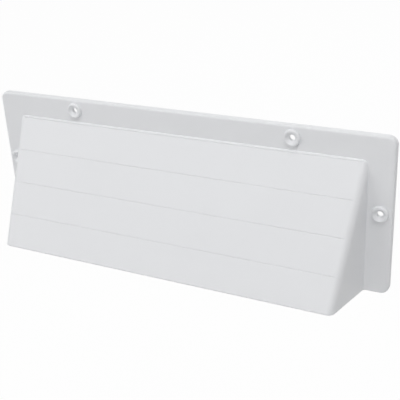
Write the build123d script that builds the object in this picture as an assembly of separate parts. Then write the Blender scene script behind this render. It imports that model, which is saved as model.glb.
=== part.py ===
from build123d import *
import os
from math import cos, hypot, radians, tan

# Airbrick cowl: a weather hood moulded in one piece with its wall flange.
# Sizes are in millimetres. X runs along the cowl, the front faces -Y and Z is up.
# The origin is the middle of the wall face, so the wall plane is y = 0.

# Flange, a shallow pan whose rim stands on the wall
flange_width = 270.0
flange_height = 98.8
flange_depth = 3.9
flange_corner_radius = 5.4
flange_edge_round = 1.5
pan_floor_round = 0.6

# Thickness of the skin, the rim and the hood
wall = 2.2

# Hood, open at the back and at the bottom
side_margin = 15.0
top_margin = 15.0
hood_projection = 46.8
ledge_depth = 0.7
draft_angle = 7.7
fold_radius = 4.2
ledge_round = 0.6
foot_round = 0.4
lip_round = 0.8

# Fine grooves across the sloping face, the first one close under the ledge
groove_count = 4
groove_pitch = 21.8
first_groove_drop = 1.1
groove_width = 0.5
groove_depth = 0.28

# Screw holes, each in a raised dished ring
screw_hole_diameter = 3.9
screw_inset = 7.4
top_screw_spacing = 150.0
side_screw_height = 51.9
ring_diameter = 10.4
ring_draft_angle = 13.0
ring_height = 1.7
ring_round = 0.7
sink_diameter = 7.6
sink_angle = 100.0

# How far a cutting shape runs past the surface that it opens
cut_margin = 10.0

# Which side of a shape lies on its origin
STANDING = (Align.CENTER, Align.CENTER, Align.MIN)
FRONT_OF_WALL = (Align.CENTER, Align.MAX, Align.MIN)
UPRIGHT = (Align.CENTER, Align.MAX, Align.CENTER)

bottom_z = -flange_height / 2
top_z = flange_height / 2
front_y = -flange_depth
skin_back_y = front_y + wall
hood_top_z = top_z - top_margin
drafted = tan(radians(draft_angle))
drafted_wall = wall / cos(radians(draft_angle))

# The sloping face runs from the ledge's front corner down to the lip
ledge_front_y = front_y - ledge_depth
ledge_front_z = hood_top_z - ledge_depth * drafted
lip_z = bottom_z + (hood_projection - flange_depth) * drafted
slope_drop = ledge_front_z - lip_z
slope_reach = hood_projection + ledge_front_y
slope_length = hypot(slope_drop, slope_reach)


def half_width_at(y, inset):
    """Half the hood's width at a depth y, on a face inset by whole walls."""
    return flange_width / 2 - side_margin - (front_y - y) * drafted - inset * drafted_wall


def ledge_z_at(y, inset):
    """The ledge's height at a depth y, on a face inset by whole walls."""
    return hood_top_z - (front_y - y) * drafted - inset * drafted_wall


def slope_y_at(z, inset):
    """The sloping face's depth at a height z, on a face inset by whole walls."""
    outside_y = ledge_front_y - (ledge_front_z - z) * slope_reach / slope_drop
    return outside_y + inset * wall * slope_length / slope_drop


def on_front(point, inset):
    """Whether a point lies on the sloping face or on the ledge."""
    on_slope = abs(point.Y - slope_y_at(point.Z, inset)) < 1e-3
    on_ledge = abs(point.Z - ledge_z_at(point.Y, inset)) < 1e-3
    return on_slope or on_ledge


def hood_form(inset):
    """The hood as a full wedge that runs on past the wall and below the lip."""
    back_y = cut_margin
    low_z = bottom_z - cut_margin
    low_y = slope_y_at(low_z, inset)
    # the corner where the faces of the ledge and the slope cross
    lean = slope_reach / slope_drop
    corner_y = slope_y_at(ledge_z_at(0, inset), inset) / (1 - lean * drafted)
    corner_z = ledge_z_at(corner_y, inset)
    side_view = [
        (back_y, low_z),
        (low_y, low_z),
        (corner_y, corner_z),
        (back_y, ledge_z_at(back_y, inset)),
    ]
    plan = [
        (-half_width_at(back_y, inset), back_y),
        (half_width_at(back_y, inset), back_y),
        (half_width_at(low_y, inset), low_y),
        (-half_width_at(low_y, inset), low_y),
    ]
    across = extrude(Plane.YZ * Polygon(*side_view, align=None), flange_width, both=True)
    upward = extrude(Plane.XY * Polygon(*plan, align=None), flange_height, both=True)
    wedge = across & upward
    # the folds lie where the side walls meet the slope and the ledge
    folds = [
        edge
        for edge in wedge.edges()
        if on_front(edge.center(), inset)
        and abs(edge.center().X) > half_width_at(low_y, inset) / 2
    ]
    return fillet(folds, fold_radius - inset * wall)


def footed(form):
    """The hood's form standing on an upright slab, with a rounded foot where they meet."""
    slab = Box(2 * flange_width, flange_depth, 4 * flange_height, align=UPRIGHT)
    joined = slab + form
    creases = [
        edge
        for edge in joined.edges()
        if abs(edge.center().Y - front_y) < 1e-3
        and abs(edge.center().X) < flange_width / 2
        and bottom_z - cut_margin / 2 < edge.center().Z < top_z
    ]
    return fillet(creases, foot_round)


def hood_outside():
    """The hood's outer form with its foot, from the wall plane to the lip."""
    form = hood_form(0)
    ledge = form.faces().sort_by(Axis.Z)[-1]
    ledge_front = ledge.edges().sort_by(Axis.Y)[0]
    form = footed(fillet(ledge_front, ledge_round))
    # the underside rises towards the lip with the draft
    far_y = -hood_projection - 2 * cut_margin
    underside = [
        (2 * cut_margin, bottom_z + (front_y - 2 * cut_margin) * drafted),
        (far_y, bottom_z + (front_y - far_y) * drafted),
        (far_y, -4 * flange_height),
        (2 * cut_margin, -4 * flange_height),
    ]
    form -= extrude(Plane.YZ * Polygon(*underside, align=None), 2 * flange_width, both=True)
    under = form.faces().sort_by(Axis.Z)[0]
    lip_rim = [edge for edge in under.edges() if edge.center().Y < front_y - foot_round]
    form = fillet(lip_rim, lip_round)
    # only the hood and its foot are kept of the slab
    foot_width = 2 * half_width_at(front_y, 0) + 3 * foot_round
    foot_height = hood_top_z - bottom_z + 1.5 * foot_round
    kept = Box(foot_width, 2 * hood_projection, foot_height, align=FRONT_OF_WALL)
    return form & (Pos(0, 0, bottom_z) * kept)


def rounded_plate(width, height, corner_radius, face_y):
    """An upright plate from the wall plane out to a depth, centred on the origin."""
    outline = Plane.XZ * RectangleRounded(width, height, corner_radius)
    return extrude(outline, -face_y)


def front_rim(plate, face_y):
    """The edges around a plate's front face."""
    return [edge for edge in plate.edges() if abs(edge.center().Y - face_y) < 1e-3]


def flange_plate():
    """The flange's outer form, as a full plate."""
    plate = rounded_plate(flange_width, flange_height, flange_corner_radius, front_y)
    return fillet(front_rim(plate, front_y), flange_edge_round)


def flange_hollow():
    """The space behind the skin, inside the rim."""
    width = flange_width - 2 * wall
    height = flange_height - 2 * wall
    hollow = rounded_plate(width, height, flange_corner_radius - wall, skin_back_y)
    return fillet(front_rim(hollow, skin_back_y), pan_floor_round)


def screw_places():
    """The middles of the four screw holes, as (x, z)."""
    top_row_z = top_z - screw_inset
    side_x = flange_width / 2 - screw_inset
    side_z = bottom_z + side_screw_height
    return [
        (-top_screw_spacing / 2, top_row_z),
        (top_screw_spacing / 2, top_row_z),
        (-side_x, side_z),
        (side_x, side_z),
    ]


def turned_to_front(solid, x, z):
    """A solid made on +Z, turned to stand out of the flange's front at a screw's place."""
    return Pos(x, front_y, z) * Rot(90, 0, 0) * solid


def screw_ring():
    """A raised ring, with its foot buried in the skin by half a wall."""
    buried = wall / 2
    foot = Pos(0, 0, -buried) * Cylinder(ring_diameter / 2, buried, align=STANDING)
    crest_radius = ring_diameter / 2 - ring_height * tan(radians(ring_draft_angle))
    crown = Cone(ring_diameter / 2, crest_radius, ring_height, align=STANDING)
    crest = crown.edges().sort_by(Axis.Z)[-1]
    return foot + fillet(crest, ring_round)


def screw_opening():
    """The through hole with its countersink, which opens just past the ring's crest."""
    hole = Cylinder(screw_hole_diameter / 2, 2 * cut_margin)
    spread = tan(radians(sink_angle / 2))
    tip_z = ring_height - sink_diameter / 2 / spread
    mouth_z = ring_height + ring_round
    depth = mouth_z - tip_z
    sink = Cone(0, depth * spread, depth, align=STANDING)
    return hole + Pos(0, 0, tip_z) * sink


def grooves():
    """Straight V cuts across the sloping face, which run out over the two folds."""
    down = Vector(0, -slope_reach / slope_length, -slope_drop / slope_length)
    out = Vector(0, -slope_drop / slope_length, slope_reach / slope_length)
    ledge_corner = Vector(0, ledge_front_y, ledge_front_z)
    # the cut's sides carry on past the face, so that it opens cleanly
    lift = groove_depth
    half_mouth = groove_width / 2 * (groove_depth + lift) / groove_depth
    cuts = []
    for number in range(groove_count):
        middle = ledge_corner + down * (first_groove_drop + number * groove_pitch)
        corners = [
            middle - out * groove_depth,
            middle + out * lift + down * half_mouth,
            middle + out * lift - down * half_mouth,
        ]
        section = make_face(Polyline(*corners, close=True))
        cuts.append(extrude(section, flange_width, dir=(1, 0, 0), both=True))
    return cuts


def cowl():
    """The whole moulding."""
    body = flange_plate() + hood_outside()
    body -= flange_hollow() - hood_form(0)
    body -= hood_form(1)
    for x, z in screw_places():
        body += turned_to_front(screw_ring(), x, z)
    for x, z in screw_places():
        body -= turned_to_front(screw_opening(), x, z)
    for cut in grooves():
        body -= cut
    return body


os.makedirs("parts", exist_ok=True)
moulding = cowl()
moulding.label = "cowl"
export_step(moulding, "parts/cowl.step")
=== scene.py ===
"""White plastic finish, white table, soft studio light and camera for an airbrick cowl."""

import math

import bpy
from mathutils import Matrix, Vector


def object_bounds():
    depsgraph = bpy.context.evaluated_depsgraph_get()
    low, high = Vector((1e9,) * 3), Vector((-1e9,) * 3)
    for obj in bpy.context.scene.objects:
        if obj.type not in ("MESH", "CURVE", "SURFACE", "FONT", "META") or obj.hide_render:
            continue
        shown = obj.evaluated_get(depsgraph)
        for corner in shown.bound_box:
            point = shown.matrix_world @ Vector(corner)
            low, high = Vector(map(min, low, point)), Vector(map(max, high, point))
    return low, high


bl_info = {
    "name": "Airbrick Cowl",
    "version": (1, 0, 0),
    "blender": (4, 5, 0),
    "location": "3D View > Sidebar > Airbrick Cowl",
    "description": "Finishes a white moulded airbrick cowl over a white studio table",
    "category": "Object",
}

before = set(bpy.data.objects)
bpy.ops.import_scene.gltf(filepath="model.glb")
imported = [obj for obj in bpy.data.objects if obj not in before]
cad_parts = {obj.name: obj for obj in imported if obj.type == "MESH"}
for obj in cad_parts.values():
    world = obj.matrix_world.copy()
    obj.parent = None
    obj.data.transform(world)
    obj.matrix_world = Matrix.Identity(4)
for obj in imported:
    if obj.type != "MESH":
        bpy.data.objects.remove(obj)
MODEL_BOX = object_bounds()

# One millimetre in the scene's metres
MM = 0.001

# The camera's focal length is stated for a 36 mm wide sensor, and it sees from 1 cm to 100 m
SENSOR_WIDTH = 36.0
NEAREST_SEEN = 0.01
FARTHEST_SEEN = 100.0

# How fine each noise pattern is, as a number of octaves
CLOUD_DETAIL = 3.0
GLOSS_DETAIL = 4.0
WAVE_DETAIL = 1.0
GRAIN_DETAIL = 2.0

# A noise pattern's values lie mostly between these two, around 0.5
NOISE_LOW = 0.3
NOISE_HIGH = 0.7
NOISE_ROUGHNESS = 0.5

# The gloss varies in patches, several across one area of the flow
GLOSS_PATCHES_PER_FLOW = 4
GLOSS_SPREAD = 0.04

# A bump is as deep as its distance says
BUMP_STRENGTH = 1.0

# Refractive index of the plastic
PLASTIC_IOR = 1.49

# The table top is a many-sided disc of matt white
TABLE_SIDES = 64
TABLE_ROUGHNESS = 0.9

# Where each soft lamp stands and how wide and high it is, in metres
LAMP_SPOTS = {
    "overhead": {"place": (0.0, -0.2, 1.6), "width": 2.0, "height": 2.0},
    "key": {"place": (0.26, -0.7, 1.3), "width": 0.5, "height": 0.5},
    "left": {"place": (-2.1, -1.95, 1.05), "width": 2.1, "height": 1.8},
    "right": {"place": (1.13, -0.2, 0.96), "width": 1.2, "height": 1.2},
    "back": {"place": (0.0, 1.8, 0.8), "width": 1.6, "height": 1.2},
}

# White light of full strength, which the camera sees as pure white
WHITE = (1.0, 1.0, 1.0, 1.0)
FULL_STRENGTH = 1.0

# A Mix node's sockets share their names, so they are called by number
MIX_FACTOR = 0
MIX_NUMBER_A = 2
MIX_NUMBER_B = 3
MIX_NUMBER_RESULT = 0
MIX_COLOUR_A = 6
MIX_COLOUR_B = 7
MIX_COLOUR_RESULT = 2


class CowlPlastic(bpy.types.PropertyGroup):
    """Colour, gloss and surface texture of the white moulding."""

    colour: bpy.props.FloatVectorProperty(
        name="Colour",
        description="Colour of the plastic",
        subtype="COLOR",
        size=3,
        min=0.0,
        max=1.0,
        default=(0.80, 0.808, 0.825),
    )
    roughness: bpy.props.FloatProperty(
        name="Roughness",
        description="How satin the moulded surface is",
        subtype="FACTOR",
        min=0.0,
        max=1.0,
        default=0.48,
    )
    grain_size: bpy.props.FloatProperty(
        name="Grain Size",
        description="Width of one grain of the mould's eroded texture",
        unit="LENGTH",
        min=0.0001,
        max=0.005,
        default=0.45 * MM,
    )
    grain_depth: bpy.props.FloatProperty(
        name="Grain Depth",
        description="Depth of the mould's eroded texture",
        unit="LENGTH",
        min=0.0,
        max=0.001,
        default=0.012 * MM,
    )
    flow_size: bpy.props.FloatProperty(
        name="Flow Size",
        description="Width of the faint cloudy areas left by the plastic's flow",
        unit="LENGTH",
        min=0.001,
        max=0.5,
        default=38.0 * MM,
    )
    flow_contrast: bpy.props.FloatProperty(
        name="Flow Contrast",
        description="How much darker the cloudy areas are",
        subtype="FACTOR",
        min=0.0,
        max=0.2,
        default=0.012,
    )
    wave_depth: bpy.props.FloatProperty(
        name="Wave Depth",
        description="Depth of the slow waves where the walls shrank as they cooled",
        unit="LENGTH",
        min=0.0,
        max=0.001,
        default=0.06 * MM,
    )


class CowlStage(bpy.types.PropertyGroup):
    """The white table, the lamps and the even light around them."""

    floor_size: bpy.props.FloatProperty(
        name="Floor Size",
        description="Width of the round table top",
        unit="LENGTH",
        min=0.5,
        max=50.0,
        default=12.0,
    )
    hanging_height: bpy.props.FloatProperty(
        name="Hanging Height",
        description="Height of the cowl's lower edge above the floor, as it hangs at its wall",
        unit="LENGTH",
        min=0.0,
        max=5.0,
        default=0.3,
    )
    floor_colour: bpy.props.FloatVectorProperty(
        name="Floor Colour",
        description="Colour of the table under the lamps",
        subtype="COLOR",
        size=3,
        min=0.0,
        max=1.0,
        default=(0.86, 0.86, 0.86),
    )
    ambient: bpy.props.FloatProperty(
        name="Ambient",
        description="Strength of the even light from all round",
        min=0.0,
        max=5.0,
        default=0.37,
    )
    glow: bpy.props.FloatProperty(
        name="Backdrop Glow",
        description="How much of the table is seen as pure white",
        subtype="FACTOR",
        min=0.0,
        max=1.0,
        default=0.97,
    )
    overhead_power: bpy.props.FloatProperty(
        name="Overhead Power",
        description="Power of the large lamp overhead",
        unit="POWER",
        min=0.0,
        max=1000.0,
        default=5.4,
    )
    key_power: bpy.props.FloatProperty(
        name="Key Power",
        description="Power of the smaller lamp high in front, which draws the rings' shadows",
        unit="POWER",
        min=0.0,
        max=1000.0,
        default=7.0,
    )
    left_power: bpy.props.FloatProperty(
        name="Left Power",
        description="Power of the lamp at the front left",
        unit="POWER",
        min=0.0,
        max=1000.0,
        default=17.6,
    )
    right_power: bpy.props.FloatProperty(
        name="Right Power",
        description="Power of the lamp at the right",
        unit="POWER",
        min=0.0,
        max=1000.0,
        default=1.1,
    )
    back_power: bpy.props.FloatProperty(
        name="Back Power",
        description="Power of the lamp behind the cowl",
        unit="POWER",
        min=0.0,
        max=1000.0,
        default=4.0,
    )


class CowlCamera(bpy.types.PropertyGroup):
    """Where the camera stands and what it looks at."""

    lens: bpy.props.FloatProperty(
        name="Focal Length",
        description="Focal length on a 36 mm wide sensor, in millimetres",
        min=10.0,
        max=500.0,
        default=71.82,
    )
    azimuth: bpy.props.FloatProperty(
        name="Azimuth",
        description="Turn of the camera to the cowl's right, seen from above",
        subtype="ANGLE",
        default=math.radians(27.83),
    )
    elevation: bpy.props.FloatProperty(
        name="Elevation",
        description="Height angle of the camera above the horizon",
        subtype="ANGLE",
        default=math.radians(25.14),
    )
    roll: bpy.props.FloatProperty(
        name="Roll",
        description="Turn of the camera about its own view line",
        subtype="ANGLE",
        default=math.radians(-3.10),
    )
    distance: bpy.props.FloatProperty(
        name="Distance",
        description="Distance from the camera to the point that it looks at",
        unit="LENGTH",
        min=0.01,
        max=10.0,
        default=507.7 * MM,
    )
    aim: bpy.props.FloatVectorProperty(
        name="Aim",
        description="The point that the camera looks at, on the cowl's wall plane",
        subtype="TRANSLATION",
        size=3,
        default=(11.4 * MM, 0.0, -9.6 * MM),
    )


def node(tree, kind, name, **settings):
    """A shader node with its name and its plain settings."""
    made = tree.nodes.new(kind)
    made.name = name
    made.label = name
    for key, value in settings.items():
        setattr(made, key, value)
    return made


def noise(tree, name, place, size, detail):
    """A noise pattern whose features are about the given size, in metres."""
    made = node(tree, "ShaderNodeTexNoise", name)
    made.inputs["Scale"].default_value = 1.0 / size
    made.inputs["Detail"].default_value = detail
    made.inputs["Roughness"].default_value = NOISE_ROUGHNESS
    tree.links.new(place, made.inputs["Vector"])
    return made.outputs["Fac"]


def remap(tree, name, value, low, high):
    """Stretches a noise value to a range of its own."""
    made = node(tree, "ShaderNodeMapRange", name)
    made.inputs["From Min"].default_value = NOISE_LOW
    made.inputs["From Max"].default_value = NOISE_HIGH
    made.inputs["To Min"].default_value = low
    made.inputs["To Max"].default_value = high
    tree.links.new(value, made.inputs["Value"])
    return made.outputs["Result"]


def bump(tree, name, height, depth, normal=None):
    """A bump of a stated depth in metres, laid over another one if given."""
    made = node(tree, "ShaderNodeBump", name)
    made.inputs["Strength"].default_value = BUMP_STRENGTH
    made.inputs["Distance"].default_value = depth
    tree.links.new(height, made.inputs["Height"])
    if normal is not None:
        tree.links.new(normal, made.inputs["Normal"])
    return made.outputs["Normal"]


def white_plastic(plastic):
    """Satin white plastic with a fine eroded grain and faint flow clouding."""
    material = bpy.data.materials.new("moulded_white_plastic")
    material.use_nodes = True
    tree = material.node_tree
    shader = tree.nodes["Principled BSDF"]
    place = node(tree, "ShaderNodeTexCoord", "Place").outputs["Object"]

    clouds = noise(tree, "Flow Clouds", place, plastic.flow_size, CLOUD_DETAIL)
    lightness = remap(tree, "Cloud Lightness", clouds, 1.0 - plastic.flow_contrast, 1.0)
    tint = node(tree, "ShaderNodeMix", "Clouded Colour", data_type="RGBA", blend_type="MULTIPLY")
    tint.inputs[MIX_FACTOR].default_value = 1.0
    tint.inputs[MIX_COLOUR_A].default_value = (*plastic.colour, 1.0)
    tree.links.new(lightness, tint.inputs[MIX_COLOUR_B])
    tree.links.new(tint.outputs[MIX_COLOUR_RESULT], shader.inputs["Base Color"])

    patch_size = plastic.flow_size / GLOSS_PATCHES_PER_FLOW
    patches = noise(tree, "Gloss Patches", place, patch_size, GLOSS_DETAIL)
    glossiest = plastic.roughness - GLOSS_SPREAD
    dullest = plastic.roughness + GLOSS_SPREAD
    gloss = remap(tree, "Patch Roughness", patches, glossiest, dullest)
    tree.links.new(gloss, shader.inputs["Roughness"])

    waves = noise(tree, "Cooling Waves", place, plastic.flow_size, WAVE_DETAIL)
    grain = noise(tree, "Eroded Grain", place, plastic.grain_size, GRAIN_DETAIL)
    waved = bump(tree, "Wave Bump", waves, plastic.wave_depth)
    grained = bump(tree, "Grain Bump", grain, plastic.grain_depth, waved)
    tree.links.new(grained, shader.inputs["Normal"])

    shader.inputs["IOR"].default_value = PLASTIC_IOR
    return material


class CowlFinish(bpy.types.Operator):
    """Give the moulding its satin white plastic."""

    bl_idname = "airbrick_cowl.finish"
    bl_label = "Finish Moulding"

    def execute(self, context):
        plastic = white_plastic(context.scene.cowl_plastic)
        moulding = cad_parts["cowl"]
        for slot in moulding.material_slots:
            slot.material = plastic
        return {"FINISHED"}


def seen_or_mirrored(tree):
    """One for what is seen directly, mirrored or through glass, nought for light on things."""
    kind = node(tree, "ShaderNodeLightPath", "Ray Kind")
    share = kind.outputs["Is Camera Ray"]
    for ray in ("Is Glossy Ray", "Is Transmission Ray"):
        larger = node(tree, "ShaderNodeMath", f"Or {ray}", operation="MAXIMUM")
        tree.links.new(share, larger.inputs[0])
        tree.links.new(kind.outputs[ray], larger.inputs[1])
        share = larger.outputs["Value"]
    return share


def table_white(colour, glow_share):
    """Matt white, which the camera sees as nearly pure white with a faint shadow on it."""
    material = bpy.data.materials.new("table_white")
    material.use_nodes = True
    tree = material.node_tree
    shader = tree.nodes["Principled BSDF"]
    shader.inputs["Base Color"].default_value = (*colour, 1.0)
    shader.inputs["Roughness"].default_value = TABLE_ROUGHNESS
    glow = node(tree, "ShaderNodeEmission", "Backdrop Glow")
    glow.inputs["Strength"].default_value = FULL_STRENGTH
    share = node(tree, "ShaderNodeMath", "Glow Share", operation="MULTIPLY")
    share.inputs[1].default_value = glow_share
    tree.links.new(seen_or_mirrored(tree), share.inputs[0])
    mixed = node(tree, "ShaderNodeMixShader", "Table Mix")
    tree.links.new(share.outputs["Value"], mixed.inputs["Fac"])
    tree.links.new(shader.outputs["BSDF"], mixed.inputs[1])
    tree.links.new(glow.outputs["Emission"], mixed.inputs[2])
    surface = tree.nodes["Material Output"].inputs["Surface"]
    tree.links.new(mixed.outputs["Shader"], surface)
    return material


def studio_world(ambient):
    """Even white light from all round, which the camera sees as pure white."""
    world = bpy.data.worlds.new("studio")
    world.use_nodes = True
    tree = world.node_tree
    background = tree.nodes["Background"]
    background.inputs["Color"].default_value = WHITE
    strength = node(tree, "ShaderNodeMix", "Light Or Backdrop", data_type="FLOAT")
    strength.inputs[MIX_NUMBER_A].default_value = ambient
    strength.inputs[MIX_NUMBER_B].default_value = FULL_STRENGTH
    tree.links.new(seen_or_mirrored(tree), strength.inputs[MIX_FACTOR])
    tree.links.new(strength.outputs[MIX_NUMBER_RESULT], background.inputs["Strength"])
    return world


def lamp(name, place, aim, width, height, power):
    """A rectangular soft lamp that looks at a point."""
    light = bpy.data.lights.new(name, "AREA")
    light.shape = "RECTANGLE"
    light.size = width
    light.size_y = height
    light.energy = power
    holder = bpy.data.objects.new(name, light)
    holder.location = place
    holder.rotation_euler = (Vector(aim) - Vector(place)).to_track_quat("-Z", "Y").to_euler()
    bpy.context.scene.collection.objects.link(holder)


class CowlStageMaker(bpy.types.Operator):
    """Set out the table, the lamps and the even light around them."""

    bl_idname = "airbrick_cowl.stage"
    bl_label = "Set Stage"

    def execute(self, context):
        stage = context.scene.cowl_stage
        low, high = MODEL_BOX
        middle = (low + high) / 2
        bpy.ops.mesh.primitive_circle_add(
            vertices=TABLE_SIDES,
            radius=stage.floor_size / 2,
            fill_type="NGON",
            location=(0.0, 0.0, low.z - stage.hanging_height),
        )
        floor = context.object
        floor.name = "table"
        floor.data.materials.append(table_white(stage.floor_colour, stage.glow))
        powers = {
            "overhead": stage.overhead_power,
            "key": stage.key_power,
            "left": stage.left_power,
            "right": stage.right_power,
            "back": stage.back_power,
        }
        for name, spot in LAMP_SPOTS.items():
            lamp(f"{name}_lamp", aim=middle, power=powers[name], **spot)
        context.scene.world = studio_world(stage.ambient)
        context.scene.view_settings.view_transform = "Standard"
        return {"FINISHED"}


class CowlCameraMaker(bpy.types.Operator):
    """Stand the camera at the photo's viewing angle."""

    bl_idname = "airbrick_cowl.camera"
    bl_label = "Set Camera"

    def execute(self, context):
        settings = context.scene.cowl_camera
        level = math.cos(settings.elevation)
        # from the point that the camera looks at, back to the camera
        back = Vector(
            (
                math.sin(settings.azimuth) * level,
                -math.cos(settings.azimuth) * level,
                math.sin(settings.elevation),
            )
        )
        right = back.cross(Vector((0.0, 0.0, -1.0))).normalized()
        up = back.cross(right)
        turned_right = math.cos(settings.roll) * right + math.sin(settings.roll) * up
        turned_up = math.cos(settings.roll) * up - math.sin(settings.roll) * right
        data = bpy.data.cameras.new("photo_camera")
        data.sensor_width = SENSOR_WIDTH
        data.lens = settings.lens
        data.clip_start = NEAREST_SEEN
        data.clip_end = FARTHEST_SEEN
        camera = bpy.data.objects.new("photo_camera", data)
        place = Vector(settings.aim) + back * settings.distance
        axes = Matrix((turned_right, turned_up, back)).transposed()
        camera.matrix_world = Matrix.Translation(place) @ axes.to_4x4()
        context.scene.collection.objects.link(camera)
        context.scene.camera = camera
        return {"FINISHED"}


class CowlPanel(bpy.types.Panel):
    """Lists the steps and the settings behind them."""

    bl_idname = "VIEW3D_PT_airbrick_cowl"
    bl_label = "Airbrick Cowl"
    bl_space_type = "VIEW_3D"
    bl_region_type = "UI"
    bl_category = "Airbrick Cowl"

    def draw(self, context):
        scene = context.scene
        steps = [
            (CowlFinish, scene.cowl_plastic),
            (CowlStageMaker, scene.cowl_stage),
            (CowlCameraMaker, scene.cowl_camera),
        ]
        for operator, settings in steps:
            box = self.layout.box()
            box.operator(operator.bl_idname)
            for name in settings.__annotations__:
                box.prop(settings, name)


CLASSES = (
    CowlPlastic,
    CowlStage,
    CowlCamera,
    CowlFinish,
    CowlStageMaker,
    CowlCameraMaker,
    CowlPanel,
)


def register():
    for cls in CLASSES:
        bpy.utils.register_class(cls)
    bpy.types.Scene.cowl_plastic = bpy.props.PointerProperty(type=CowlPlastic)
    bpy.types.Scene.cowl_stage = bpy.props.PointerProperty(type=CowlStage)
    bpy.types.Scene.cowl_camera = bpy.props.PointerProperty(type=CowlCamera)


def unregister():
    del bpy.types.Scene.cowl_camera
    del bpy.types.Scene.cowl_stage
    del bpy.types.Scene.cowl_plastic
    for cls in reversed(CLASSES):
        bpy.utils.unregister_class(cls)


def main():
    """Make the whole scene."""
    register()
    bpy.ops.airbrick_cowl.finish()
    bpy.ops.airbrick_cowl.stage()
    bpy.ops.airbrick_cowl.camera()


if __name__ == "__main__":
    main()
